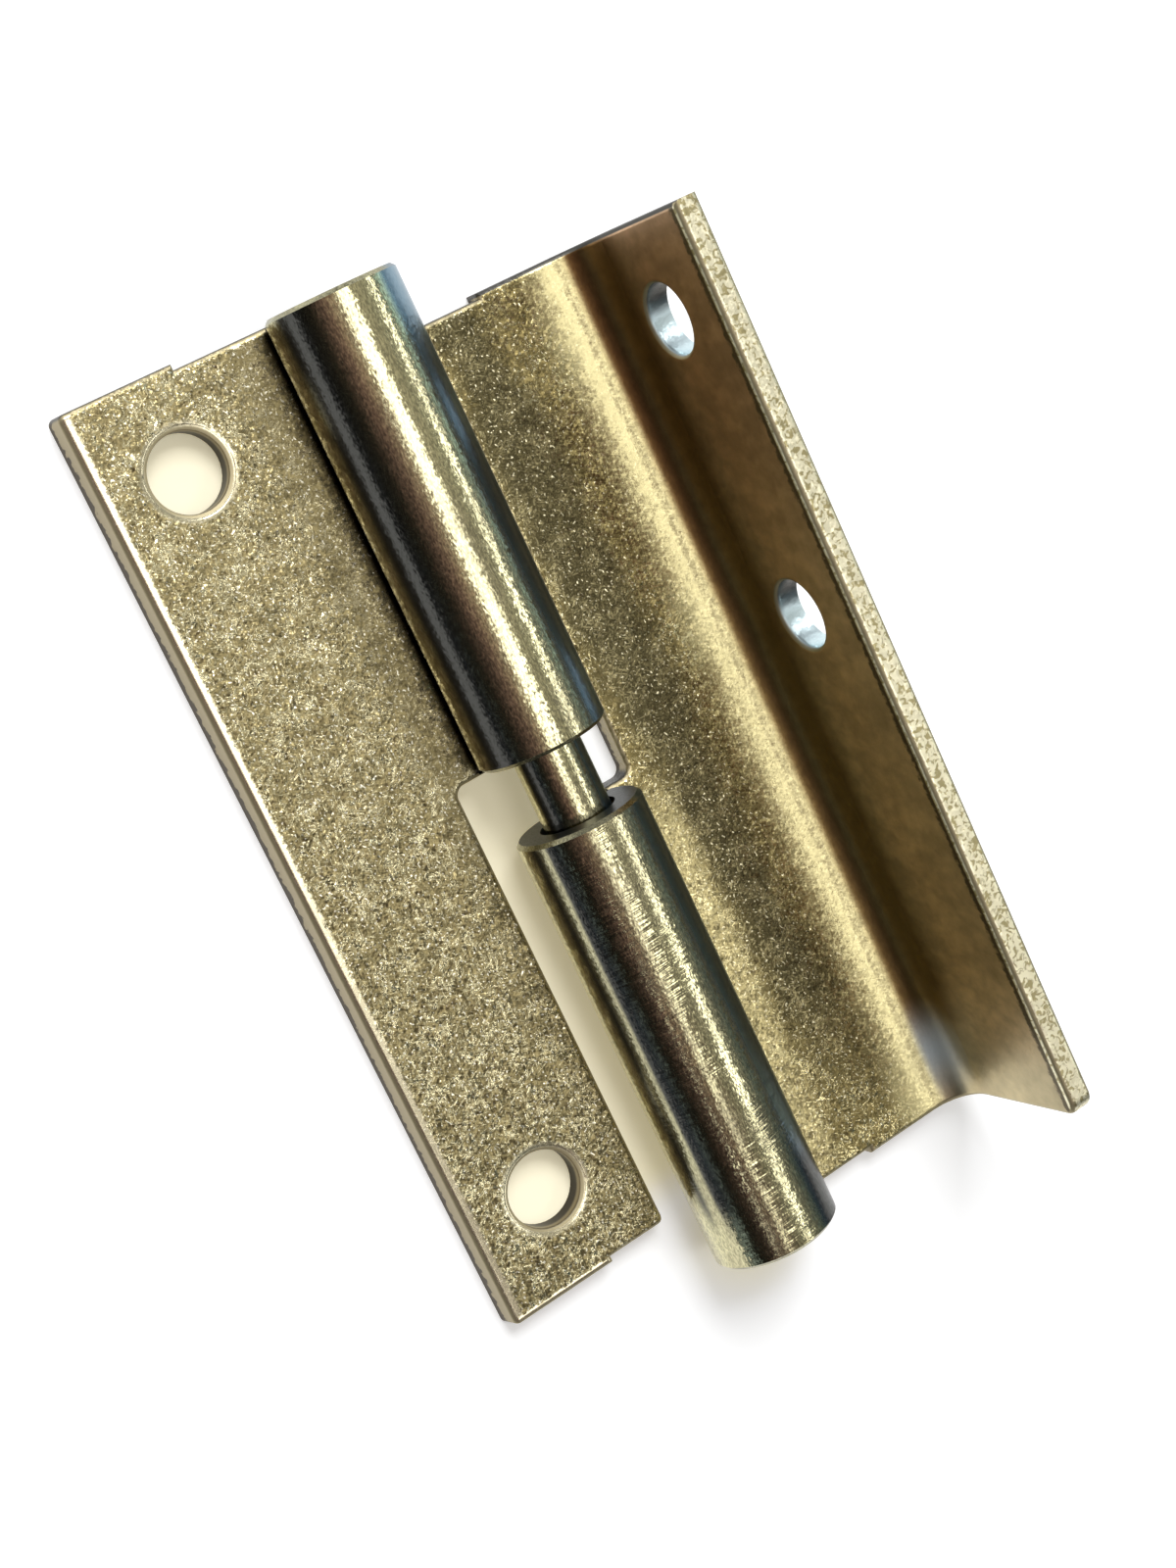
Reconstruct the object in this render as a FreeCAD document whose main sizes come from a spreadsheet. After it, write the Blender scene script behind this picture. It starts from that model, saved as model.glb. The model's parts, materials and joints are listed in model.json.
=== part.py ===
"""Lift off hinge: a flat leaf, a flanged leaf and the pin that the flanged leaf turns on and slides off.

Frame: millimetres, +Z up. The origin is midway between the flat leaf's two screw holes, on its back face.
+Y runs along the pin and +X runs from the flat leaf across the pin to the flanged leaf.
Both leaves lie open on their backs, drawn apart along the pin by knuckle_gap.
"""
import FreeCAD, Part
import Sketcher
import math
import os

# Driving dimensions, in millimetres and degrees
SIZES = {
    # Sheet, and the knuckle that is rolled from it round a mandrel of the bore's size
    "sheet_gauge": 2.0,
    "bore_dia": 6.0,
    "roll_angle": 298.0,
    "rim_break": 0.3,
    # Outline that both leaves are blanked to, reaches counted from the pin's axis
    "leaf_length": 72.0,
    "step_reach": 11.5,
    "edge_step": 0.45,
    "cut_back": 6.5,
    "relief_radius": 0.8,
    "corner_radius": 0.5,
    "edge_rounding": 0.45,
    # Flat leaf
    "fixed_reach": 20.7,
    "shear_taper": 0.35,
    "fixed_knuckle_inset": 0.75,
    "fixed_knuckle_setback": 0.5,
    "fixed_knuckle_overhang": 0.35,
    "screw_hole_dia": 5.8,
    "screw_margin": 7.0,
    "screw_reach": 13.8,
    "screw_offset": 0.35,
    # Flanged leaf, whose flange passes outside the flat leaf's edge when the hinge is folded
    "lift_knuckle_inset": 0.15,
    "fold_clearance": 0.25,
    "flange_height": 17.0,
    "bend_radius": 3.0,
    "flange_corner_radius": 1.2,
    "flange_hole_dia": 5.5,
    "flange_hole_spacing": 23.5,
    "flange_hole_margin": 7.0,
    "flange_hole_height": 9.3,
    # Pin, held in the flat leaf's knuckle and loose in the other
    "seat_clearance": 0.05,
    "seat_setback": 1.0,
    "shank_play": 0.35,
    "shank_length": 34.0,
    "pin_recess": 0.5,
    "tip_chamfer": 0.8,
    # How far the second knuckle stands from the edge that it closes on, at rest
    "knuckle_gap": 5.45,
}

NEAR = 0.01
FULL_TURN = 360


class Size:
    """A number together with the sheet formula that gives it, so that both are written once."""

    def __init__(self, number, formula):
        self.number = number
        self.formula = formula

    def __add__(self, other):
        return Size(self.number + other.number, f"({self.formula} + {other.formula})")

    def __sub__(self, other):
        return Size(self.number - other.number, f"({self.formula} - {other.formula})")

    def __mul__(self, factor):
        return Size(self.number * factor, f"({self.formula} * {factor})")

    def __truediv__(self, divisor):
        return Size(self.number / divisor, f"({self.formula} / {divisor})")

    def __neg__(self):
        return self * -1


def lean(run, rise):
    """Angle, in degrees, of a face that leans by run over rise."""
    return Size(math.degrees(math.atan2(run.number, rise.number)), f"atan({run.formula} / {rise.formula})")


def fill_sheet(doc):
    """Writes the driving dimensions into the sheet and gives each one as a Size."""
    sheet = doc.addObject("Spreadsheet::Sheet", "Sizes")
    bound = {}
    for row, (alias, number) in enumerate(SIZES.items(), start=1):
        sheet.set(f"A{row}", alias)
        sheet.set(f"B{row}", str(number))
        sheet.setAlias(f"B{row}", alias)
        bound[alias] = Size(number, f"Sizes.{alias}")
    doc.recompute()
    return bound


def bind(thing, **properties):
    for name, size in properties.items():
        thing.setExpression(name, size.formula)


def origin_plane(body, role):
    return next(feature for feature in body.Origin.OriginFeatures if feature.Role == role)


def new_sketch(body, name, plane, lift=None):
    """Sketch on one of the body's origin planes, raised along the sketch's own upright by lift."""
    sketch = body.newObject("Sketcher::SketchObject", name)
    sketch.AttachmentSupport = [(origin_plane(body, plane), "")]
    sketch.MapMode = "FlatFace"
    if lift:
        sketch.setExpression("AttachmentOffset.Base.y", lift.formula)
    return sketch


def pin_down(sketch, kind, element, point, size):
    """Ties one coordinate of a sketch point to a size, counted from the sketch's origin."""
    if size is ZERO:
        axis = -2 if kind == "DistanceX" else -1
        sketch.addConstraint(Sketcher.Constraint("PointOnObject", element, point, axis))
        return
    index = sketch.addConstraint(Sketcher.Constraint(kind, -1, 1, element, point, size.number))
    sketch.setExpression(f"Constraints[{index}]", size.formula)


def draw_outline(sketch, corners):
    """Closed outline through corners given as pairs of sizes, each edge upright, level or slanting."""
    points = [FreeCAD.Vector(x.number, y.number, 0) for x, y in corners]
    ends = points[1:] + points[:1]
    lines = [sketch.addGeometry(Part.LineSegment(a, b), False) for a, b in zip(points, ends)]
    for line, after in zip(lines, lines[1:] + lines[:1]):
        sketch.addConstraint(Sketcher.Constraint("Coincident", line, 2, after, 1))
    for line, (x, y), (last_x, last_y) in zip(lines, corners, [(None, None)] + corners[:-1]):
        if x is last_x:
            sketch.addConstraint(Sketcher.Constraint("Vertical", line - 1))
        else:
            pin_down(sketch, "DistanceX", line, 1, x)
        if y is last_y:
            sketch.addConstraint(Sketcher.Constraint("Horizontal", line - 1))
        else:
            pin_down(sketch, "DistanceY", line, 1, y)


def draw_circle(sketch, x, y, diameter):
    centre = FreeCAD.Vector(x.number, y.number, 0)
    upright = FreeCAD.Vector(0, 0, 1)
    circle = sketch.addGeometry(Part.Circle(centre, upright, diameter.number / 2), False)
    pin_down(sketch, "DistanceX", circle, 3, x)
    pin_down(sketch, "DistanceY", circle, 3, y)
    index = sketch.addConstraint(Sketcher.Constraint("Diameter", circle, diameter.number))
    sketch.setExpression(f"Constraints[{index}]", diameter.formula)


def pad(body, name, sketch, length, both_ways=False):
    feature = body.newObject("PartDesign::Pad", name)
    feature.Profile = sketch
    feature.Midplane = both_ways
    bind(feature, Length=length)
    doc.recompute()


def turn(body, name, sketch, axis, angle=None, backwards=False):
    """Turns a profile about one of its sketch's axes, all the way round unless an angle is given."""
    feature = body.newObject("PartDesign::Revolution", name)
    feature.Profile = sketch
    feature.ReferenceAxis = (sketch, [axis])
    feature.Reversed = backwards
    feature.Angle = FULL_TURN
    if angle:
        bind(feature, Angle=angle)
    doc.recompute()


def along(shape, **place):
    """True where an edge or a face keeps to each named coordinate, such as x or z."""
    box = shape.BoundBox
    spans = {"x": (box.XMin, box.XMax), "y": (box.YMin, box.YMax), "z": (box.ZMin, box.ZMax)}
    return all(abs(end - size.number) < NEAR for axis, size in place.items() for end in spans[axis])


def round_edges(body, name, radius, chosen):
    """Fillet on the edges of the body's last feature that chosen picks out."""
    base = body.Tip
    edges = [f"Edge{i}" for i, edge in enumerate(base.Shape.Edges, start=1) if chosen(edge)]
    feature = body.newObject("PartDesign::Fillet", name)
    feature.Base = (base, edges)
    bind(feature, Radius=radius)
    doc.recompute()


def shear(body, name, taper, chosen):
    """Leans the faces that chosen picks out inwards from the back face up, as a sheared edge does."""
    base = body.Tip
    faces = [f"Face{i}" for i, face in enumerate(base.Shape.Faces, start=1) if chosen(face)]
    feature = body.newObject("PartDesign::Draft", name)
    feature.Base = (base, faces)
    feature.NeutralPlane = (origin_plane(body, "XY_Plane"), [""])
    bind(feature, Angle=lean(taper, size["sheet_gauge"]))
    doc.recompute()


def blank(body, name, side, reach, inset, holes=()):
    """Flat sheet of a leaf on the given side of the pin, cut back beside the other leaf's knuckle."""
    outer, step, cut = reach * side, size["step_reach"] * side, size["cut_back"] * side
    knuckle_end = size["leaf_length"] / -2 * side
    knuckle_proud = knuckle_end - size["edge_step"] * side
    free_end = size["leaf_length"] / 2 * side
    free_proud = free_end + size["edge_step"] * side
    notch = -inset * side
    sketch = new_sketch(body, name + "_outline", "XY_Plane")
    draw_outline(sketch, [
        (outer, free_proud), (step, free_proud), (step, free_end), (cut, free_end),
        (cut, notch), (ZERO, notch), (ZERO, knuckle_end),
        (step, knuckle_end), (step, knuckle_proud), (outer, knuckle_proud),
    ])
    for x, y, diameter in holes:
        draw_circle(sketch, x, y, diameter)
    pad(body, name + "_sheet", sketch, size["sheet_gauge"])
    round_edges(body, name + "_relief", size["relief_radius"], lambda edge: along(edge, x=cut, y=notch))
    return {"outer": outer, "cut": cut, "free_end": free_end, "ends": (free_proud, knuckle_proud)}


def roll_knuckle(body, name, side, begin, overhang):
    """Rolls the sheet's end up round the pin and back down towards the leaf, with the rims broken."""
    start = -begin * side
    end = (size["leaf_length"] / 2 + overhang) * -side
    break_in = size["rim_break"] * -side
    broken_start, broken_end = start + break_in, end - break_in
    inner, outer = -bore_radius, -knuckle_radius
    shoulder = outer + size["rim_break"]
    sketch = new_sketch(body, name + "_roll_section", "YZ_Plane", lift=knuckle_radius)
    draw_outline(sketch, [
        (start, inner), (start, shoulder), (broken_start, outer),
        (broken_end, outer), (end, shoulder), (end, inner),
    ])
    turn(body, name + "_knuckle", sketch, "H_Axis", angle=size["roll_angle"], backwards=side < 0)


def make_fixed_leaf():
    body = doc.addObject("PartDesign::Body", "fixed_leaf")
    side = -1
    hole_x = size["screw_reach"] * side
    offset = size["screw_offset"]
    half_spacing = size["leaf_length"] / 2 - size["screw_margin"]
    heights = (offset + half_spacing, offset - half_spacing)
    holes = [(hole_x, hole_y, size["screw_hole_dia"]) for hole_y in heights]
    lines = blank(body, "fixed", side, size["fixed_reach"], size["fixed_knuckle_inset"], holes)

    def is_corner(edge):
        upright = edge.BoundBox.ZLength > size["sheet_gauge"].number / 2
        at_an_end = any(along(edge, y=end) for end in lines["ends"])
        outer_corner = at_an_end and edge.CenterOfMass.x < hole_x.number
        return upright and (outer_corner or along(edge, x=lines["cut"], y=lines["free_end"]))

    def is_top_edge(edge):
        return along(edge, z=size["sheet_gauge"]) and not along(edge, x=ZERO)

    shear(body, "fixed_sheared_edge", size["shear_taper"], lambda face: along(face, x=lines["outer"]))
    round_edges(body, "fixed_corners", size["corner_radius"], is_corner)
    round_edges(body, "fixed_edges", size["edge_rounding"], is_top_edge)
    roll_knuckle(body, "fixed", side, fixed_knuckle_start, size["fixed_knuckle_overhang"])
    bind(body, **{"Placement.Base.x": size["screw_reach"], "Placement.Base.y": -offset})
    return body


def make_lift_off_leaf():
    body = doc.addObject("PartDesign::Body", "lift_off_leaf")
    side = 1
    inset = size["lift_knuckle_inset"]
    inner = size["fixed_reach"] + size["fold_clearance"]
    outer = inner + size["sheet_gauge"]
    lines = blank(body, "lift", side, outer, inset)

    upright = new_sketch(body, "flange_section", "XZ_Plane")
    top = size["flange_height"]
    draw_outline(upright, [(inner, ZERO), (outer, ZERO), (outer, top), (inner, top)])
    pad(body, "flange", upright, size["leaf_length"] + size["edge_step"] * 2, both_ways=True)
    gauge, bend = size["sheet_gauge"], size["bend_radius"]
    round_edges(body, "bend_inside", bend, lambda edge: along(edge, x=inner, z=gauge))
    round_edges(body, "bend_outside", bend + gauge, lambda edge: along(edge, x=outer, z=ZERO))

    drilling = new_sketch(body, "flange_hole_plan", "YZ_Plane")
    hole_y = size["leaf_length"] / 2 - size["flange_hole_margin"]
    for y in (hole_y, hole_y - size["flange_hole_spacing"]):
        draw_circle(drilling, y, size["flange_hole_height"], size["flange_hole_dia"])
    holes = body.newObject("PartDesign::Pocket", "flange_holes")
    holes.Profile = drilling
    holes.Type = "ThroughAll"
    holes.Midplane = True
    doc.recompute()

    cut, free_end, low_end = lines["cut"], lines["free_end"], lines["ends"][1]
    flange_rounding = size["flange_corner_radius"]
    round_edges(body, "flange_corner", flange_rounding, lambda edge: along(edge, y=low_end, z=top))
    round_edges(body, "lift_corner", size["corner_radius"], lambda edge: along(edge, x=cut, y=free_end))

    def is_worn_edge(edge):
        on_sheet = along(edge, z=gauge) and not along(edge, x=ZERO) and not along(edge, x=inner - bend)
        on_flange = along(edge, z=top, x=inner) or along(edge, z=top, x=outer)
        hole_rim = along(edge, x=inner) and edge.isClosed()
        return on_sheet or on_flange or hole_rim

    round_edges(body, "lift_edges", size["edge_rounding"], is_worn_edge)
    roll_knuckle(body, "lift", side, inset, ZERO)
    apart = size["fixed_knuckle_inset"] - size["knuckle_gap"] + inset - size["screw_offset"]
    bind(body, **{"Placement.Base.x": size["screw_reach"], "Placement.Base.y": apart})
    return body


def make_hinge_pin():
    """Pin with a full seat in the flat leaf's knuckle and a thinner shank below it."""
    body = doc.addObject("PartDesign::Body", "hinge_pin")
    seat, shank = bore_radius - size["seat_clearance"], bore_radius - size["shank_play"]
    head = size["leaf_length"] / 2 + size["fixed_knuckle_overhang"] - size["pin_recess"]
    shoulder = fixed_knuckle_start + size["seat_setback"]
    tip = fixed_knuckle_start - size["shank_length"]
    tip_side, tip_face = tip + size["tip_chamfer"], shank - size["tip_chamfer"]
    sketch = new_sketch(body, "pin_half_section", "XY_Plane")
    draw_outline(sketch, [
        (ZERO, tip), (tip_face, tip), (shank, tip_side),
        (shank, shoulder), (seat, shoulder), (seat, head), (ZERO, head),
    ])
    turn(body, "pin_turned", sketch, "V_Axis")
    place = {"x": size["screw_reach"], "y": -size["screw_offset"], "z": knuckle_radius}
    bind(body, **{f"Placement.Base.{axis}": along_axis for axis, along_axis in place.items()})
    return body


def write_parts(bodies):
    """Stops at the first failed feature or bad solid, and otherwise writes one file per piece."""
    doc.recompute()
    for thing in doc.Objects:
        failed = [state for state in thing.State if state in ("Invalid", "Error")]
        if failed:
            raise RuntimeError(f"{thing.Name} is {failed}")
    for body in bodies:
        if body.Shape.isNull() or not body.Shape.isValid() or len(body.Shape.Solids) != 1:
            raise RuntimeError(f"{body.Label} is not one valid solid")
    os.makedirs("parts", exist_ok=True)
    for body in bodies:
        body.Shape.exportStep(f"parts/{body.Label}.step")
        box = body.Shape.BoundBox
        print(body.Label, "volume", round(body.Shape.Volume, 2), "box", [round(v, 3) for v in (
            box.XMin, box.YMin, box.ZMin, box.XMax, box.YMax, box.ZMax)])


doc = FreeCAD.newDocument("lift_off_hinge")
size = fill_sheet(doc)
ZERO = Size(0, "0")
bore_radius = size["bore_dia"] / 2
knuckle_radius = bore_radius + size["sheet_gauge"]
fixed_knuckle_start = size["fixed_knuckle_inset"] + size["fixed_knuckle_setback"]
write_parts([make_fixed_leaf(), make_lift_off_leaf(), make_hinge_pin()])
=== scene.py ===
# %% [markdown]
# # A lift off hinge in Blender
# The hinge is three pieces of plated steel: a flat leaf, a flanged leaf and the pin between them. Their
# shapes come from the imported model, so this lesson is about looking at metal: where the camera stands,
# what the metal has to reflect, and how a plated, rolled and sheared sheet differs from place to place.

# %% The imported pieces, left where they are
import json
import math
from types import SimpleNamespace
import bpy
from mathutils import Matrix, Vector


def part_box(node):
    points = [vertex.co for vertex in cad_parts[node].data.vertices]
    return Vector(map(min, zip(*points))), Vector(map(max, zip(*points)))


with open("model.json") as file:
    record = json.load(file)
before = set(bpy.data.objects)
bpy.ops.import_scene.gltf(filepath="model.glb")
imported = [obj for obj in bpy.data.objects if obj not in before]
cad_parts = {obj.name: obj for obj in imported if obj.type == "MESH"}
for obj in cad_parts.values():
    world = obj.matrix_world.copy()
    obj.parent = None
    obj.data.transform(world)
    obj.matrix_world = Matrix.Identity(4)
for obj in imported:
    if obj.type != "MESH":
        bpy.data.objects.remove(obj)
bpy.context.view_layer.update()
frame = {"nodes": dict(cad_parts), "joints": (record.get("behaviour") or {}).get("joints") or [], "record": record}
MM = 0.001
for name in frame["nodes"]:
    low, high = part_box(name)
    print(name, "measures", [round((b - a) / MM, 2) for a, b in zip(low, high)], "mm")

# %% [markdown]
# ## Places on the hinge
# Real plating looks different at a bend, round a punched hole and on the rolled knuckle, so the
# finishes need to know where those are. The numbers could be typed in again, but the ones that the
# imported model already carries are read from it. The sheet's thickness and the radius of its bend are
# stated once here.

# %% Places on the hinge
swing = next(joint for joint in frame["joints"] if joint["type"] == "hinge")
AXIS = Vector(swing["pos_m"])
SHEET = 2.0 * MM
BEND = 3.0 * MM
LEAF_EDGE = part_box("fixed_leaf")[0].x
LEAF_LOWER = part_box("fixed_leaf")[0].y
FLANGE_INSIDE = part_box("lift_off_leaf")[1].x - SHEET
FLANGE_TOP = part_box("lift_off_leaf")[1].z
LOWER_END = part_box("lift_off_leaf")[0].y
UPPER_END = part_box("lift_off_leaf")[1].y
BEND_START = FLANGE_INSIDE - BEND
print("pin axis at", [round(v / MM, 2) for v in AXIS], "mm")
print("bend starts at", round(BEND_START / MM, 2), "mm")

# %% [markdown]
# ## Camera
# The photograph looks down on the open hinge from the flat leaf's side, from about a hand's length
# away, so near parts are clearly larger. Three things fix such a view: where the lens is, the point it
# looks at, and how far the picture is turned about that line. A Track To constraint would give the
# first two, but not the turn, so the camera's three axes are worked out and set as its rotation.

# %% Camera
CAMERA_PLACE = Vector((-48.78, 33.06, 165.45)) * MM
CAMERA_AIM = Vector((17.61, -4.55, 0.0)) * MM
PICTURE_TURN = math.radians(27.43)
FOCAL_LENGTH = 55.8
SENSOR = 36.0

bpy.ops.object.camera_add(location=CAMERA_PLACE)
camera = bpy.context.object
camera.name = "photo_camera"
camera.data.lens = FOCAL_LENGTH
camera.data.sensor_width = SENSOR
camera.data.clip_start = 1 * MM
forward = (CAMERA_AIM - CAMERA_PLACE).normalized()
pin_in_picture = Vector((math.sin(PICTURE_TURN), math.cos(PICTURE_TURN), 0.0))
right = forward.cross(pin_in_picture).normalized()
up = right.cross(forward)
camera.rotation_euler = Matrix((right, up, -forward)).transposed().to_euler()
bpy.context.scene.camera = camera
bpy.context.scene.view_settings.view_transform = "Standard"
print("camera stands", round((CAMERA_AIM - CAMERA_PLACE).length / MM), "mm from what it looks at")

# %% [markdown]
# ## Shader nodes from code
# A material is a tree of nodes. In the editor each node is placed and wired by hand, and in code the
# same few steps come back all the time: place a node, fill its sockets, do one sum, fade from one value
# to another, mix two colours. A short helper for each keeps the finishes further down readable.

# %% Helpers that place shader nodes
SINGLE_VALUE = ("LENGTH", "DOT_PRODUCT", "DISTANCE")


def feed(tree, socket, value):
    """Links a socket to another one, or sets it to a plain value."""
    if isinstance(value, bpy.types.NodeSocket):
        tree.links.new(value, socket)
    else:
        socket.default_value = value


def add(tree, kind, **inputs):
    """Places a shader node and fills its named inputs."""
    made = tree.nodes.new("ShaderNode" + kind)
    for name, value in inputs.items():
        feed(tree, made.inputs[name], value)
    return made


def sums(tree, operation, *values):
    """One Math node, given its operation and its operands in order."""
    made = tree.nodes.new("ShaderNodeMath")
    made.operation = operation
    for socket, value in zip(made.inputs, values):
        feed(tree, socket, value)
    return made.outputs[0]


def vectors(tree, operation, *values):
    """One Vector Math node, and the output that carries its result."""
    made = tree.nodes.new("ShaderNodeVectorMath")
    made.operation = operation
    for socket, value in zip(made.inputs, values):
        feed(tree, socket, value)
    return made.outputs["Value" if operation in SINGLE_VALUE else "Vector"]


def scaled(tree, vector, factor):
    """A vector made longer or shorter by a value or a socket."""
    made = vectors(tree, "SCALE", vector)
    feed(tree, made.node.inputs["Scale"], factor)
    return made


def ramp_between(tree, value, start, end):
    """0 at start, 1 at end, easing in between; start may be the larger."""
    made = add(tree, "MapRange", Value=value)
    made.interpolation_type = "SMOOTHSTEP"
    made.inputs["From Min"].default_value = start
    made.inputs["From Max"].default_value = end
    return made.outputs["Result"]


def all_of(tree, *masks):
    """Masks multiplied with each other."""
    result = masks[0]
    for mask in masks[1:]:
        result = sums(tree, "MULTIPLY", result, mask)
    return result


def without(tree, mask):
    """The rest of a mask."""
    return sums(tree, "SUBTRACT", 1.0, mask)


def mixed(tree, share, first, second, kind="RGBA"):
    """A Mix node of colours, or of single values with kind FLOAT."""
    made = tree.nodes.new("ShaderNodeMix")
    made.data_type = kind
    sockets = [s for s in made.inputs if s.enabled]
    for socket, value in zip(sockets, (share, first, second)):
        feed(tree, socket, value)
    return next(s for s in made.outputs if s.enabled)


def new_material(name):
    """Empty material, its node tree and its Principled shader."""
    material = bpy.data.materials.new(name)
    material.use_nodes = True
    return material, material.node_tree, material.node_tree.nodes["Principled BSDF"]


print("helpers ready")

# %% [markdown]
# ## Floor
# A plain sheet of white card. A stronger lamp would make it white too, but it would bleach the hinge,
# so the card is white by its colour and by a little light of its own for the rays that come straight
# from the camera or from a mirror. The shadow stays. Under the flat leaf and at the lower barrel's end
# a warm tint is painted into the card's colour and its light, standing in for light thrown back by the
# brass coloured metal, and the painted tint fades out at the leaf's outline.

# %% Floor
FLOOR_RADIUS = 1.5
FLOOR_SIDES = 96
FLOOR_DROP = 0.02 * MM
FLOOR_COLOUR = (0.88, 0.90, 0.93, 1)
# painted warm bounce light: the card's colour and its own light turn warmer under the hinge
FLOOR_BOUNCE_TINT = (0.86, 0.82, 0.66, 1)
FLOOR_ROUGHNESS = 0.9
FLOOR_SHINE = 0.1
GLOW = 0.30
GLOW_COLOUR = (1.0, 0.97, 0.92, 1)
GLOW_BOUNCE_TINT = (1.0, 0.91, 0.60, 1)
BOUNCE_TINT_FADE = 4.0 * MM
BOUNCE_TINT_END = 7.0 * MM
BOUNCE_TINT_END_FULL = 1.0 * MM

bpy.ops.object.select_all(action="DESELECT")
bpy.ops.mesh.primitive_circle_add(
    vertices=FLOOR_SIDES, radius=FLOOR_RADIUS, fill_type="NGON", location=(0, 0, -FLOOR_DROP))
floor = bpy.context.object
floor.name = "floor"
card, tree, surface = new_material("white_card")
surface.inputs["Roughness"].default_value = FLOOR_ROUGHNESS
surface.inputs["Specular IOR Level"].default_value = FLOOR_SHINE
ray = add(tree, "LightPath").outputs
seen = sums(tree, "MAXIMUM", ray["Is Camera Ray"], ray["Is Glossy Ray"])
seen = sums(tree, "MAXIMUM", seen, ray["Is Transmission Ray"])
feed(tree, surface.inputs["Emission Strength"], sums(tree, "MULTIPLY", seen, GLOW))
leaf_low, leaf_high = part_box("fixed_leaf")
middle = (leaf_low + leaf_high) / 2
reach = (leaf_high - leaf_low) / 2
place = add(tree, "TexCoord").outputs["Object"]
off_middle = vectors(tree, "ABSOLUTE", vectors(tree, "SUBTRACT", place, (middle.x, middle.y, 0)))
off_middle = add(tree, "SeparateXYZ", Vector=off_middle).outputs
# where the painted warm bounce light goes: under the flat leaf and round the lower barrel's end
painted_bounce = all_of(tree, ramp_between(tree, off_middle["X"], reach.x, reach.x - BOUNCE_TINT_FADE),
               ramp_between(tree, off_middle["Y"], reach.y, reach.y - BOUNCE_TINT_FADE))
off_end = vectors(tree, "DISTANCE", place, (AXIS.x, LOWER_END, 0))
painted_bounce = sums(tree, "MAXIMUM", painted_bounce, ramp_between(tree, off_end, BOUNCE_TINT_END, BOUNCE_TINT_END_FULL))
feed(tree, surface.inputs["Base Color"], mixed(tree, painted_bounce, FLOOR_COLOUR, FLOOR_BOUNCE_TINT))
feed(tree, surface.inputs["Emission Color"], mixed(tree, painted_bounce, GLOW_COLOUR, GLOW_BOUNCE_TINT))
floor.data.materials.append(card)
print("floor of", FLOOR_RADIUS, "m radius")

# %% [markdown]
# ## Lamps
# Metal shows its surroundings, so lighting a hinge means deciding what stands round it. The long
# highlight on each barrel is a soft box overhead, with a weaker box in front of it, and the thinner one
# is a strip light to the right. A small card at the near left lifts the edges that face it. A key lamp
# beyond the far end of the pin throws the shadows: a barrel is a cylinder and can't mirror what lies
# along its own length, so the key stays out of the streaks. Area lamps are used because their edges are
# what a mirror shows, and each is given the brightness that a mirror would show, so that its size and
# its level can be set apart.

# %% Lamps
CEILING = 0.9
WATTS_PER_RADIANCE = 4.0


def panel(name, place, width, length, radiance, turn=0):
    """Soft box facing down, its long side turned away from +X."""
    bpy.ops.object.light_add(type="AREA", location=place)
    lamp = bpy.context.object
    lamp.name = name
    lamp.rotation_euler = (0, 0, math.radians(turn))
    lamp.data.shape = "RECTANGLE"
    lamp.data.size = length
    lamp.data.size_y = width
    lamp.data.energy = radiance * width * length * WATTS_PER_RADIANCE
    return lamp


panel("overhead_box", (0.0, -0.04, CEILING), width=0.32, length=0.33, radiance=2.45, turn=90)
panel("strip_light", (0.78, -0.23, CEILING), width=0.11, length=1.05, radiance=3.6, turn=40)
panel("low_box", (-0.15, -0.32, CEILING), width=0.14, length=0.35, radiance=1.0, turn=90)
panel("bounce_card", (-0.55, -0.55, CEILING), width=0.10, length=0.12, radiance=2.1, turn=40)
key = panel("key_lamp", (0.20, 0.74, CEILING), width=0.55, length=0.55, radiance=8.4)
key.rotation_euler = Vector(key.location).to_track_quat("Z", "Y").to_euler()
print("five lamps in a ceiling at", CEILING, "m")

# %% [markdown]
# ## Walls of the room
# What isn't lamp is wall. The left of the room is dark and brownish, which gives the barrels their
# black stripe with a warm edge, and the right is a little cool. An environment picture would do this
# too, but a few ramps over the direction of a ray say the same and can be tuned one by one. A
# direction's Z is its height: 0 is the horizon and 1 is straight up. Two small windows put the blue
# glints on the barrels' flanks. Rays straight from the camera see a white backdrop instead, so that a
# low view ends in white too.

# %% Walls: dark on the left, cool on the right
DARK_WALL = ((0.0, (0.02, 0.02, 0.02)), (0.50, (0.02, 0.018, 0.016)), (0.68, (0.085, 0.058, 0.06)),
             (0.82, (0.20, 0.128, 0.13)), (0.93, (0.42, 0.32, 0.28)), (1.0, (0.40, 0.37, 0.32)))
COOL_WALL = ((0.0, (0.06, 0.09, 0.11)), (0.05, (0.05, 0.09, 0.13)), (0.26, (0.09, 0.15, 0.21)),
             (0.46, (0.18, 0.23, 0.26)), (0.62, (0.30, 0.31, 0.30)), (0.78, (0.36, 0.36, 0.32)),
             (1.0, (0.42, 0.39, 0.33)))
LEFT_SIDE = -0.15
RIGHT_SIDE = 0.25
NEAR_DIM = 0.45
DIM_START = -0.08
DIM_FULL = -0.34


def colour_ramp(tree, value, stops):
    """Colours at places from 0 to 1, each fading into the next."""
    made = add(tree, "ValToRGB", Fac=value)
    points = made.color_ramp.elements
    while len(points) < len(stops):
        points.new(0.5)
    for point, (place, colour) in zip(points, stops):
        point.position = place
        point.color = (*colour, 1)
    return made.outputs["Color"]


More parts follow.
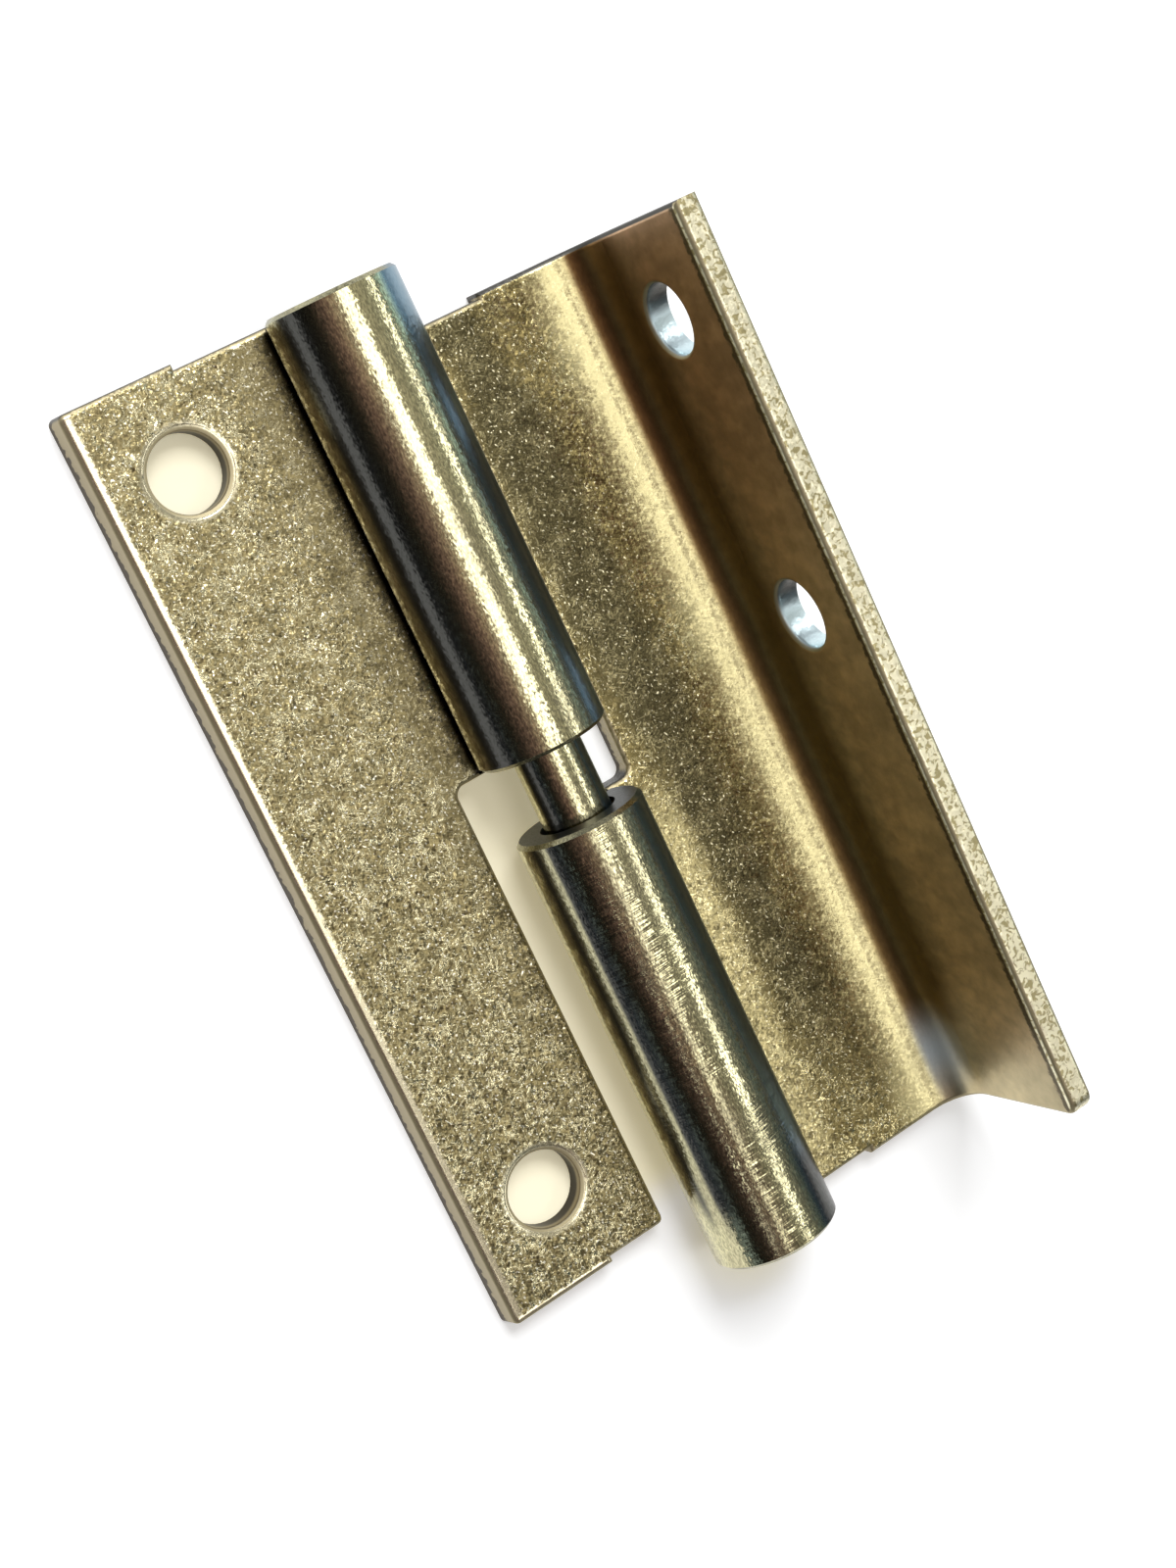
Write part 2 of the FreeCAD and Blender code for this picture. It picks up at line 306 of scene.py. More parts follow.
world = bpy.data.worlds.new("studio_room")
bpy.context.scene.world = world
world.use_nodes = True
tree = world.node_tree
direction = add(tree, "TexCoord").outputs["Generated"]
towards = add(tree, "SeparateXYZ", Vector=direction).outputs
walls = mixed(tree, ramp_between(tree, towards["X"], LEFT_SIDE, RIGHT_SIDE),
              colour_ramp(tree, towards["Z"], DARK_WALL), colour_ramp(tree, towards["Z"], COOL_WALL))
dimmed = mixed(tree, NEAR_DIM, walls, (0, 0, 0, 1))
walls = mixed(tree, ramp_between(tree, towards["Y"], DIM_START, DIM_FULL), walls, dimmed)
print("walls with", len(tree.nodes), "nodes")

# %% Walls: two windows and the two ends
WINDOW_LIGHT = (0.72, 1.02, 1.14, 1)
WINDOW_SILL = 0.10
WINDOW_TOP = 0.46
WINDOW_EDGE = 0.06
WINDOW_SIDE = -0.24
WINDOW_MIDDLE = 0.02
LEFT_WINDOW_LIGHT = (0.28, 0.36, 0.44, 1)
LEFT_WINDOW_PLACE = Vector((-0.92, -0.36, 0.18)).normalized()
LEFT_WINDOW_REACH = 0.22
LEFT_WINDOW_FULL = 0.04
FAR_WALL = (0.36, 0.36, 0.36, 1)
FAR_WALL_START = 0.30
FAR_WALL_FULL = 0.55
NEAR_WALL = (0.6, 0.6, 0.6, 1)
NEAR_WALL_START = -0.80
NEAR_WALL_FULL = -0.95
BACKDROP = (1, 1, 1, 1)

window = all_of(tree, ramp_between(tree, towards["Z"], WINDOW_SILL, WINDOW_SILL + WINDOW_EDGE),
                ramp_between(tree, towards["Z"], WINDOW_TOP, WINDOW_TOP - WINDOW_EDGE),
                ramp_between(tree, towards["Y"], WINDOW_SIDE, WINDOW_MIDDLE),
                sums(tree, "GREATER_THAN", towards["X"], 0.0))
walls = mixed(tree, window, walls, WINDOW_LIGHT)
off_window = vectors(tree, "LENGTH", vectors(tree, "SUBTRACT", direction, LEFT_WINDOW_PLACE))
left_window = ramp_between(tree, off_window, LEFT_WINDOW_REACH, LEFT_WINDOW_FULL)
walls = mixed(tree, left_window, walls, LEFT_WINDOW_LIGHT)
walls = mixed(tree, ramp_between(tree, towards["Y"], FAR_WALL_START, FAR_WALL_FULL), walls, FAR_WALL)
walls = mixed(tree, ramp_between(tree, towards["Y"], NEAR_WALL_START, NEAR_WALL_FULL), walls, NEAR_WALL)
from_camera = add(tree, "LightPath").outputs["Is Camera Ray"]
feed(tree, tree.nodes["Background"].inputs["Color"], mixed(tree, from_camera, walls, BACKDROP))
print("room with", len(tree.nodes), "nodes")

# %% [markdown]
# ## Finishes
# The hinge is cold rolled sheet that was sheared, punched and rolled up, and plated with zinc
# afterwards, with a yellowish passivation. The plating keeps the texture of the steel under it: the
# flats have a crystalline grain, the barrels were burnished by the rolling tool, and the cut faces show
# how the shear went through. A picture could be wrapped round the pieces, but noise in the hinge's own
# millimetres stays sharp at any distance. What more than one piece shows is made as a node group, built
# once and used in each finish.

# %% A group, and noise with a size in millimetres
def new_group(name, inputs, outputs):
    """Empty shader node group with named float inputs and outputs of the given socket kinds."""
    group = bpy.data.node_groups.new(name, "ShaderNodeTree")
    for label, default in inputs.items():
        socket = group.interface.new_socket(label, in_out="INPUT", socket_type="NodeSocketFloat")
        socket.default_value = default
    for label, kind in outputs.items():
        group.interface.new_socket(label, in_out="OUTPUT", socket_type="NodeSocket" + kind)
    return group, group.nodes.new("NodeGroupInput").outputs, group.nodes.new("NodeGroupOutput").inputs


def stretched_noise(tree, place, across, along, turn=0, detail=1.0, swirl=0.0):
    """Noise with cells so many metres across and along, the long way turned from +Y in the plane."""
    laid = add(tree, "Mapping", Vector=place)
    laid.vector_type = "TEXTURE"
    laid.inputs["Rotation"].default_value = (0, 0, math.radians(turn))
    laid.inputs["Scale"].default_value = (across, along, across)
    noise = add(tree, "TexNoise", Vector=laid.outputs["Vector"], Scale=1.0, Detail=detail)
    noise.inputs["Distortion"].default_value = swirl
    return noise.outputs


def centred(tree, colour):
    """A noise colour turned into a vector that points any way about zero."""
    return vectors(tree, "SUBTRACT", colour, (0.5, 0.5, 0.5))


def wander(tree, place, cell, reach):
    """A length that wavers about zero from place to place, to make an edge ragged."""
    noise = stretched_noise(tree, place, cell, cell, detail=2.0)["Fac"]
    return sums(tree, "MULTIPLY", sums(tree, "SUBTRACT", noise, 0.5), reach)


print("noise helpers ready")

# %% [markdown]
# ## Grain
# On the flats the zinc grew in crystals: short pale dashes that lie every way, crowded here and sparse
# there, with a bright fleck now and then. Bump from a height map would give such a surface too, but at
# this size the slopes are what counts. So the noise leans the surface's normal directly: each crystal
# mirrors its own bit of the room, and the dashes come and go as the hinge is turned.

# %% Grain
DASH_TURNS = (-8, 62, 118)
DASH_WIDTH = 0.16 * MM
DASH_LENGTH = 0.62 * MM
DASH_SWIRL = 0.6
DASH_START = 0.575
DASH_FULL = 0.715
CLUSTER = 1.7 * MM
CROWDING = 0.28
FLECK_WIDTH = 0.17 * MM
FLECK_LENGTH = 0.255 * MM
FLECK_TURN = 30
FLECK_START = 0.71
FLECK_FULL = 0.76
MOTTLE = 1.1 * MM
GRAIN_LEAN = 0.76

grain, given, result = new_group(
    "rolled_grain", {"Lean": GRAIN_LEAN},
    {"Tilt": "Vector", "Dashes": "Float", "Flecks": "Float", "Mottle": "Float"})
place = add(grain, "TexCoord").outputs["Object"]
layers = [stretched_noise(grain, place, DASH_WIDTH, DASH_LENGTH, turn, swirl=DASH_SWIRL)
          for turn in DASH_TURNS]
brightest = layers[0]["Fac"]
tilt = centred(grain, layers[0]["Color"])
for layer in layers[1:]:
    brightest = sums(grain, "MAXIMUM", brightest, layer["Fac"])
    tilt = vectors(grain, "ADD", tilt, centred(grain, layer["Color"]))
brightest = sums(grain, "ADD", brightest, wander(grain, place, CLUSTER, CROWDING))
feed(grain, result["Tilt"], scaled(grain, tilt, given["Lean"]))
feed(grain, result["Dashes"], ramp_between(grain, brightest, DASH_START, DASH_FULL))
flecks = stretched_noise(grain, place, FLECK_WIDTH, FLECK_LENGTH, FLECK_TURN, detail=0.0)["Fac"]
feed(grain, result["Flecks"], ramp_between(grain, flecks, FLECK_START, FLECK_FULL))
feed(grain, result["Mottle"], stretched_noise(grain, place, MOTTLE, MOTTLE, detail=4.0)["Fac"])
print("group", grain.name, "has", len(grain.nodes), "nodes")

# %% [markdown]
# ## Where the knuckle is
# Sheet and knuckle are one piece of metal, so one material has to know which of the two it is on. The
# distance from the pin's axis tells it. The same group marks the knuckle's two flanks. One gets painted
# shade, left out along a thin line on the second leaf so that a lighter line shows there, and the other
# gets a painted bluish reflection that turns to painted shade at the lower end. It also marks the narrow
# seam where the rolled end closes on the leaf, which gets painted shade.

# %% Where the knuckle is
KNUCKLE_REACH = 5.3 * MM
FLANK_START = 0.58
FLANK_FULL = 0.80
BLUE_SHEEN_START = 0.34
BLUE_SHEEN_FULL = 0.54
SHEEN_SHADE_START = LOWER_END + 10.0 * MM
SHEEN_SHADE_FULL = LOWER_END + 5.0 * MM
UNDERSIDE = 0.06
SIDEWAYS = 0.34
LINE_START = 0.84
LINE_FULL = 0.885
LINE_LAST = 0.915
LINE_END = 0.96
FLANK_END = LOWER_END + 2.5 * MM
FLANK_FADE = 4.0 * MM
SEAM_START = 5.75 * MM
SEAM_FULL = 5.35 * MM
SEAM_TOP = 2.4 * MM
SEAM_FOOT = 2.1 * MM
SEAM_SIDEWAYS = 0.4
SEAM_UPWARDS = 0.8
ACROSS_PIN = (1, 0, 1)

by_pin, given, result = new_group(
    "by_the_pin", {"Reach": KNUCKLE_REACH, "Line": 0.0},
    {"Barrel": "Float", "Flank": "Float", "BlueSheen": "Float", "Dark": "Float", "Seam": "Float"})
coordinates = add(by_pin, "TexCoord").outputs
spot = add(by_pin, "SeparateXYZ", Vector=coordinates["Object"]).outputs
facing = add(by_pin, "SeparateXYZ", Vector=coordinates["Normal"]).outputs
from_axis = vectors(by_pin, "SUBTRACT", coordinates["Object"], AXIS)
distance = vectors(by_pin, "LENGTH", vectors(by_pin, "MULTIPLY", from_axis, ACROSS_PIN))
feed(by_pin, result["Barrel"], sums(by_pin, "LESS_THAN", distance, given["Reach"]))
sideways = ramp_between(by_pin, facing["Z"], UNDERSIDE, SIDEWAYS)
line = all_of(by_pin, given["Line"], ramp_between(by_pin, facing["X"], -LINE_START, -LINE_FULL),
              ramp_between(by_pin, facing["X"], -LINE_END, -LINE_LAST))
# where the painted shade goes on the left flank, left out along the thin line
feed(by_pin, result["Flank"], all_of(
    by_pin, sideways, without(by_pin, line),
    ramp_between(by_pin, facing["X"], -FLANK_START, -FLANK_FULL),
    ramp_between(by_pin, spot["Y"], FLANK_END, FLANK_END + FLANK_FADE)))
# where the painted bluish reflection goes on the right flank, and lower down where it turns to painted shade
film_and_sheen = all_of(by_pin, sideways, ramp_between(by_pin, facing["X"], BLUE_SHEEN_START, BLUE_SHEEN_FULL))
feed(by_pin, result["BlueSheen"], film_and_sheen)
feed(by_pin, result["Dark"], all_of(
    by_pin, film_and_sheen, ramp_between(by_pin, spot["Y"], SHEEN_SHADE_START, SHEEN_SHADE_FULL)))
# where painted shade goes in the seam beside the knuckle
feed(by_pin, result["Seam"], all_of(
    by_pin, ramp_between(by_pin, distance, SEAM_START, SEAM_FULL),
    ramp_between(by_pin, facing["Z"], SEAM_SIDEWAYS, SEAM_UPWARDS),
    ramp_between(by_pin, spot["Z"], SEAM_TOP, SEAM_FOOT)))
print("group", by_pin.name, "has", len(by_pin.nodes), "nodes")

# %% [markdown]
# ## Marks of the rolling tool
# A knuckle is curled in a die, which polishes the zinc and leaves four things: a fine peel along the
# pin, rings of scratches where the die slipped, a dull film in long patches, and small specks. All four
# lean the normal or change the colour a little. Roughness alone would blur the streaks evenly, and real
# ones are blurred in grains.

# %% Marks of the rolling tool
PEEL_WIDTH = 0.13 * MM
PEEL_LENGTH = 0.30 * MM
WAVE_WIDTH = 0.45 * MM
WAVE_LENGTH = 2.4 * MM
WAVE = 0.10
SCRATCH_PITCH = 0.075 * MM
SCRATCH_LENGTH = 1.9 * MM
SCRATCH_SLANT = 4
PATCH_WIDTH = 3.5 * MM
PATCH_LENGTH = 6.0 * MM
PATCH_START = 0.42
PATCH_FULL = 0.60
FILM_WIDTH = 1.6 * MM
FILM_LENGTH = 7.0 * MM
DULL_START = 0.40
DULL_FULL = 0.70
SPECK_WIDTH = 0.12 * MM
SPECK_LENGTH = 0.34 * MM
SPECK_START = 0.34
SPECK_FULL = 0.66
SPECK_SWIRL = 0.5
PEEL_LEAN = 0.24
SCRATCH_LEAN = 0.1

marks, given, result = new_group(
    "rolling_marks", {"Peel": PEEL_LEAN, "Scratches": SCRATCH_LEAN},
    {"Tilt": "Vector", "Dull": "Float", "Specks": "Float"})
place = add(marks, "TexCoord").outputs["Object"]
peel = centred(marks, stretched_noise(marks, place, PEEL_WIDTH, PEEL_LENGTH)["Color"])
waves = centred(marks, stretched_noise(marks, place, WAVE_WIDTH, WAVE_LENGTH)["Color"])
peel = scaled(marks, vectors(marks, "ADD", peel, scaled(marks, waves, WAVE)), given["Peel"])
lines = stretched_noise(marks, place, SCRATCH_LENGTH, SCRATCH_PITCH, turn=SCRATCH_SLANT)["Fac"]
patches = stretched_noise(marks, place, PATCH_WIDTH, PATCH_LENGTH)["Fac"]
patches = ramp_between(marks, patches, PATCH_START, PATCH_FULL)
depth = all_of(marks, sums(marks, "SUBTRACT", lines, 0.5), patches, given["Scratches"])
rings = add(marks, "CombineXYZ", Y=depth).outputs["Vector"]
feed(marks, result["Tilt"], vectors(marks, "ADD", peel, rings))
film_and_sheen = stretched_noise(marks, place, FILM_WIDTH, FILM_LENGTH, detail=4.0)["Fac"]
feed(marks, result["Dull"], ramp_between(marks, film_and_sheen, DULL_START, DULL_FULL))
specks = stretched_noise(marks, place, SPECK_WIDTH, SPECK_LENGTH, detail=2.0, swirl=SPECK_SWIRL)["Fac"]
feed(marks, result["Specks"], ramp_between(marks, specks, SPECK_START, SPECK_FULL))
print("group", marks.name, "has", len(marks.nodes), "nodes")

# %% [markdown]
# ## Sheared faces
# A shear cuts the upper part of a sheet cleanly and burnishes it, and tears the rest, which stays rough
# and dark. The cut faces are the ones that stand across the sheet, and round the bend the sheet's own
# direction turns, so the group first works out which way the sheet faces at each point and compares the
# normal with it. It also marks the rounded edge between face and cut, which gets a painted sheen, and the
# cut faces that look towards the far end, which get painted shade.

# %% Sheared faces
CUT_START = 0.75
CUT_FULL = 0.35
END_START = 0.55
END_FULL = 0.90
TEAR_HEIGHT = 0.62 * MM
TEAR_WANDER = 1.2 * MM
TEAR_CELL = 0.55 * MM
TEAR_EDGE = 0.06 * MM
ROUND_SIDE = 0.30
ROUND_FLAT = 0.97
ROUND_EASE = 0.12
FAR_START = 0.30
FAR_FULL = 0.80

shears, given, result = new_group(
    "sheared_faces", {"Barrel": 0.0},
    {"Cut": "Float", "Torn": "Float", "Rounded": "Float", "Far": "Float"})
coordinates = add(shears, "TexCoord").outputs
spot = add(shears, "SeparateXYZ", Vector=coordinates["Object"]).outputs
past_bend = sums(shears, "MAXIMUM", sums(shears, "SUBTRACT", spot["X"], BEND_START), 0.0)
under_bend = sums(shears, "MINIMUM", sums(shears, "SUBTRACT", spot["Z"], SHEET + BEND), 0.0)
sheet_way = add(shears, "CombineXYZ", X=past_bend, Z=under_bend).outputs["Vector"]
sheet_way = vectors(shears, "NORMALIZE", sheet_way)
facing = sums(shears, "ABSOLUTE", vectors(shears, "DOT_PRODUCT", coordinates["Normal"], sheet_way))
along_pin = add(shears, "SeparateXYZ", Vector=coordinates["Normal"]).outputs["Y"]
endways = sums(shears, "ABSOLUTE", along_pin)
cut = mixed(shears, given["Barrel"], ramp_between(shears, facing, CUT_START, CUT_FULL),
            ramp_between(shears, endways, END_START, END_FULL), "FLOAT")
feed(shears, result["Cut"], cut)
off_barrel = without(shears, given["Barrel"])
# where the painted sheen on the rounded edges goes
feed(shears, result["Rounded"], all_of(
    shears, off_barrel, ramp_between(shears, facing, ROUND_SIDE, ROUND_SIDE + ROUND_EASE),
    ramp_between(shears, facing, ROUND_FLAT, ROUND_FLAT - ROUND_EASE)))
# where painted shade goes on the cut faces that look towards the far end
feed(shears, result["Far"], all_of(
    shears, off_barrel, cut, ramp_between(shears, along_pin, FAR_START, FAR_FULL)))
height = sums(shears, "ADD", spot["Z"], wander(shears, coordinates["Object"], TEAR_CELL, TEAR_WANDER))
torn = ramp_between(shears, height, TEAR_HEIGHT + TEAR_EDGE, TEAR_HEIGHT - TEAR_EDGE)
feed(shears, result["Torn"], sums(shears, "MULTIPLY", torn, cut))
print("group", shears.name, "has", len(shears.nodes), "nodes")

# %% [markdown]
# ## Plating
# Every piece's finish starts and ends alike. It starts with the groups, each with this piece's own
# values, and ends by laying the knuckle and the cut faces over whatever the flat face shows, and by
# wiring the shader. A single material for all three pieces would be shorter, but the leaves differ in
# their flats, so the start and the end are functions and each leaf's flats get a cell of their own.

# %% Plating: colours
OLIVE = (0.262, 0.218, 0.106, 1)
CREAM = (0.84, 0.755, 0.48, 1)
FLECK_COLOUR = (0.95, 0.91, 0.74, 1)
BARREL_COLOUR = (0.64, 0.60, 0.365, 1)
DULL_COLOUR = (0.48, 0.44, 0.275, 1)
# painted shade on the knuckle's left flank, and where the painted blue reflection ends low down
PAINTED_FLANK_SHADE = (0.085, 0.085, 0.078, 1)
# painted bluish reflection on the knuckle's right flank
BLUE_PAINTED_REFLECTION = (0.215, 0.315, 0.385, 1)
# painted shade in the seam where the rolled end meets the leaf
SEAM_PAINTED_SHADE = (0.02, 0.017, 0.012, 1)
BURNISHED = (0.37, 0.315, 0.20, 1)
TORN_COLOUR = (0.085, 0.07, 0.05, 1)
BARREL_END = (0.06, 0.065, 0.062, 1)
# painted shade on cut faces that look towards the far end
FAR_CUT_PAINTED_SHADE = (0.10, 0.097, 0.088, 1)
ROUND_LIFT = (0, 0, 0.3)
# painted sheen on the rounded edges between face and cut
ROUND_PAINTED_SHEEN = (0.46, 0.40, 0.25, 1)
ROUND_ROUGHNESS = 0.52
MOTTLE_DARK = 0.70
MOTTLE_LIGHT = 1.30
GRAIN_ROUGHNESS = 0.36
DASH_ROUGHNESS = 0.24
BARREL_ROUGHNESS = 0.15
DULL_ROUGHNESS = 0.21
CUT_ROUGHNESS = 0.38
BLUE_SHEEN_ROUGHNESS = 0.28
FLANK_ROUGHNESS = 0.22
SPECK_DARK = 0.70
SPECK_LIGHT = 1.22


def use(tree, group, **inputs):
    """Places a node group in a material with its own values."""
    made = tree.nodes.new("ShaderNodeGroup")
    made.node_tree = group
    for name, value in inputs.items():
        feed(tree, made.inputs[name], value)
    return made.outputs


print("colours and roughness of the plating ready")

# %% Plating: start and end of a finish
def start_finish(name, scratches, line=0.0):
    """New metal material with the groups in it; line is how much of the painted flank shade is left out along a
    thin line.
    """
    material, tree, surface = new_material(name)
    surface.inputs["Metallic"].default_value = 1.0
    coordinates = add(tree, "TexCoord").outputs
    place = coordinates["Object"]
    pin = use(tree, by_pin, Line=line)
    return SimpleNamespace(
        material=material, tree=tree, surface=surface, place=place, pin=pin,
        spot=add(tree, "SeparateXYZ", Vector=place).outputs, grain=use(tree, grain),
        facing=add(tree, "SeparateXYZ", Vector=coordinates["Normal"]).outputs,
        rolled=use(tree, marks, Scratches=scratches), shear=use(tree, shears, Barrel=pin["Barrel"]))


def grained(kit, dashes, olive=OLIVE):
    """Colour of a grained face: dark ground, pale dashes, flecks, and a slow mottle over them."""
    ground = mixed(kit.tree, dashes, olive, CREAM)
    shade = mixed(kit.tree, kit.grain["Mottle"], MOTTLE_DARK, MOTTLE_LIGHT, "FLOAT")
    return mixed(kit.tree, kit.grain["Flecks"], scaled(kit.tree, ground, shade), FLECK_COLOUR)


def end_finish(kit, lean, flat, rough, cut):
    """Lays the knuckle and the cut faces over a flat's lean and colour, and wires the shader."""
    tree, pin, rolled = kit.tree, kit.pin, kit.rolled
    lean = vectors(tree, "ADD", scaled(tree, lean, without(tree, pin["Barrel"])),
                   scaled(tree, rolled["Tilt"], pin["Barrel"]))
    lean = vectors(tree, "ADD", lean, scaled(tree, ROUND_LIFT, kit.shear["Rounded"]))
    normal = vectors(tree, "ADD", add(tree, "NewGeometry").outputs["Normal"], lean)
    feed(tree, kit.surface.inputs["Normal"], vectors(tree, "NORMALIZE", normal))
    tube = mixed(tree, rolled["Dull"], BARREL_COLOUR, DULL_COLOUR)
    tube = scaled(tree, tube, mixed(tree, rolled["Specks"], SPECK_DARK, SPECK_LIGHT, "FLOAT"))
    # painted shade on the left flank
    tube = mixed(tree, pin["Flank"], tube, PAINTED_FLANK_SHADE)
    # painted bluish reflection on the right flank, turning to painted shade at the lower end
    tube = mixed(tree, pin["BlueSheen"], tube, BLUE_PAINTED_REFLECTION)
    tube = mixed(tree, pin["Dark"], tube, PAINTED_FLANK_SHADE)
    # painted shade in the seam
    colour = mixed(tree, pin["Seam"], mixed(tree, pin["Barrel"], flat, tube), SEAM_PAINTED_SHADE)
    edge = mixed(tree, pin["Barrel"], BURNISHED, BARREL_END)
    colour = mixed(tree, cut, colour, edge)
    # painted sheen on the rounded edges
    colour = mixed(tree, kit.shear["Rounded"], colour, ROUND_PAINTED_SHEEN)
    colour = mixed(tree, kit.shear["Torn"], colour, TORN_COLOUR)
    # painted shade on the cut faces towards the far end
    colour = mixed(tree, kit.shear["Far"], colour, FAR_CUT_PAINTED_SHADE)
    feed(tree, kit.surface.inputs["Base Color"], colour)
    smooth = mixed(tree, rolled["Dull"], BARREL_ROUGHNESS, DULL_ROUGHNESS, "FLOAT")
    smooth = mixed(tree, pin["BlueSheen"], smooth, BLUE_SHEEN_ROUGHNESS, "FLOAT")
    smooth = mixed(tree, pin["Flank"], smooth, FLANK_ROUGHNESS, "FLOAT")
    rough = mixed(tree, pin["Barrel"], rough, smooth, "FLOAT")
    rough = mixed(tree, cut, rough, CUT_ROUGHNESS, "FLOAT")
    rough = mixed(tree, kit.shear["Rounded"], rough, ROUND_ROUGHNESS, "FLOAT")
    feed(tree, kit.surface.inputs["Roughness"], rough)
    return colour


print("start and end of a finish ready")

# %% [markdown]
# ## The flat leaf
# Its grain runs over the whole face. Where the punch went in round each screw hole, and where the shear
# came down along the outer edge, the sheet was drawn over a little and the grain was pressed smooth.
# That roll is only some tenths of a millimetre wide, so it is a lean of the normal with a ragged
# border, and the true rounded edge is in the model. Its paler colour is partly the smoother zinc and
# partly a painted highlight. The lower edge has a thin burr, which leans inwards. Beside the upper barrel
# the sheet sinks a little as it enters the roll, and that strip has quieter grain and painted shade. Each
# screw hole has a broken rim that catches the light, over walls that are nearly black.

# %% The flat leaf: its edges
ROLL_LEAN = 0.14
EDGE_ROLL_START = 1.25 * MM
EDGE_ROLL_FULL = 0.95 * MM
ROLL_CELL = 0.28 * MM
ROLL_WANDER = 0.55 * MM
SINK_START = 4.6 * MM
SINK_FULL = 7.4 * MM
SINK_END = -6.0 * MM
SINK_LEAN = (-0.04, 0, 0)
SINK_GRAIN = 0.35
BURR_START = LEAF_LOWER + 0.66 * MM
BURR_FULL = LEAF_LOWER + 0.50 * MM
BURR_LEAN = (-0.14, 0.14, 0)

kit = start_finish("flat_leaf_zinc", scratches=0.10)
tree = kit.tree
ragged = wander(tree, kit.place, ROLL_CELL, ROLL_WANDER)
rolls = ramp_between(tree, sums(tree, "ADD", kit.spot["X"], ragged),
                     LEAF_EDGE + EDGE_ROLL_START, LEAF_EDGE + EDGE_ROLL_FULL)
sink = all_of(tree, ramp_between(tree, kit.spot["X"], SINK_START, SINK_FULL),
              sums(tree, "GREATER_THAN", kit.spot["Y"], SINK_END))
tilt = scaled(tree, kit.grain["Tilt"], mixed(tree, sink, 1.0, SINK_GRAIN, "FLOAT"))
lean = scaled(tree, tilt, without(tree, rolls))
lean = vectors(tree, "ADD", lean, scaled(tree, (-ROLL_LEAN, 0, 0), rolls))
lean = vectors(tree, "ADD", lean, scaled(tree, SINK_LEAN, sink))
burr = ramp_between(tree, sums(tree, "ADD", kit.spot["Y"], ragged), BURR_START, BURR_FULL)
lean = vectors(tree, "ADD", scaled(tree, lean, without(tree, burr)), scaled(tree, BURR_LEAN, burr))
rolls = sums(tree, "MAXIMUM", rolls, burr)
print("edges of the flat leaf:", len(tree.nodes), "nodes")

# %% The flat leaf: its screw holes
HOLE_ROLL_START = 0.80 * MM
HOLE_ROLL_FULL = 0.40 * MM
HOLE_ROLL_END = 0.05 * MM
BREAK_LIFT = (0, 0, 2.4)
BREAK_REACH = 0.36 * MM
ALONG_LEAF = (1, 1, 0)


def screw_holes(name, spread):
    """Centres and radius of the two holes of a stated screw pattern, spread along Y."""
    mount = next(m for m in frame["record"]["mounts"] if m["name"] == name)
    middle = Vector(mount["pos_m"])
    half = Vector((0, mount["dims"][spread] * MM / 2, 0))
    return (middle - half, middle + half), mount["dims"]["hole_r_mm"] * MM


leaf_holes, hole_radius = screw_holes("fixed_leaf_screws", "spacing_y_mm")
cut = kit.shear["Cut"]
hole_walls = 0.0
for centre in leaf_holes:
    away = vectors(tree, "MULTIPLY", vectors(tree, "SUBTRACT", kit.place, centre), ALONG_LEAF)
    off_rim = sums(tree, "SUBTRACT", vectors(tree, "LENGTH", away), hole_radius)
    near = ramp_between(tree, sums(tree, "ADD", off_rim, ragged), HOLE_ROLL_START, HOLE_ROLL_FULL)
    inwards = scaled(tree, vectors(tree, "NORMALIZE", away), sums(tree, "MULTIPLY", near, -ROLL_LEAN))
    lean = vectors(tree, "ADD", scaled(tree, lean, without(tree, near)), inwards)
    rolls = sums(tree, "MAXIMUM", rolls, near)
    wall = sums(tree, "LESS_THAN", off_rim, HOLE_ROLL_END)
    cut = all_of(tree, cut, without(tree, all_of(tree, near, without(tree, wall))))
    broken = all_of(tree, sums(tree, "LESS_THAN", off_rim, BREAK_REACH), without(tree, wall))
    lean = vectors(tree, "ADD", lean, scaled(tree, BREAK_LIFT, broken))
    hole_walls = sums(tree, "MAXIMUM", hole_walls, wall)
print("screw holes of", round(hole_radius / MM, 2), "mm radius in the flat leaf")

# %% The flat leaf: its finish
# paler colour of the roll: partly smoother pressed zinc, partly a painted highlight
PRESSED_AND_SHEEN = (0.86, 0.80, 0.58, 1)
ROLL_SHARE = 0.65
# painted shade on the strip beside the upper barrel
SINK_PAINTED_SHADE = 0.74
HOLE_WALL = (0.024, 0.019, 0.013, 1)
HOLE_LIP = (0.22, 0.185, 0.12, 1)
LIP_START = 1.0 * MM
LIP_FULL = 1.4 * MM

flat = grained(kit, kit.grain["Dashes"])
# painted shade beside the upper barrel
flat = scaled(tree, flat, mixed(tree, sink, 1.0, SINK_PAINTED_SHADE, "FLOAT"))
# the roll's paler colour, partly smoother zinc and partly a painted highlight
flat = mixed(tree, sums(tree, "MULTIPLY", rolls, ROLL_SHARE), flat, PRESSED_AND_SHEEN)
bright = sums(tree, "MAXIMUM", kit.grain["Dashes"], rolls)
rough = mixed(tree, bright, GRAIN_ROUGHNESS, DASH_ROUGHNESS, "FLOAT")
colour = end_finish(kit, lean, flat, rough, cut)
wall_colour = mixed(tree, ramp_between(tree, kit.spot["Z"], LIP_START, LIP_FULL), HOLE_WALL, HOLE_LIP)
dark_walls = all_of(tree, hole_walls, kit.shear["Cut"])
feed(tree, kit.surface.inputs["Base Color"], mixed(tree, dark_walls, colour, wall_colour))
frame["nodes"]["fixed_leaf"].data.materials[0] = kit.material
print("fixed_leaf wears", kit.material.name, "with", len(tree.nodes), "nodes")

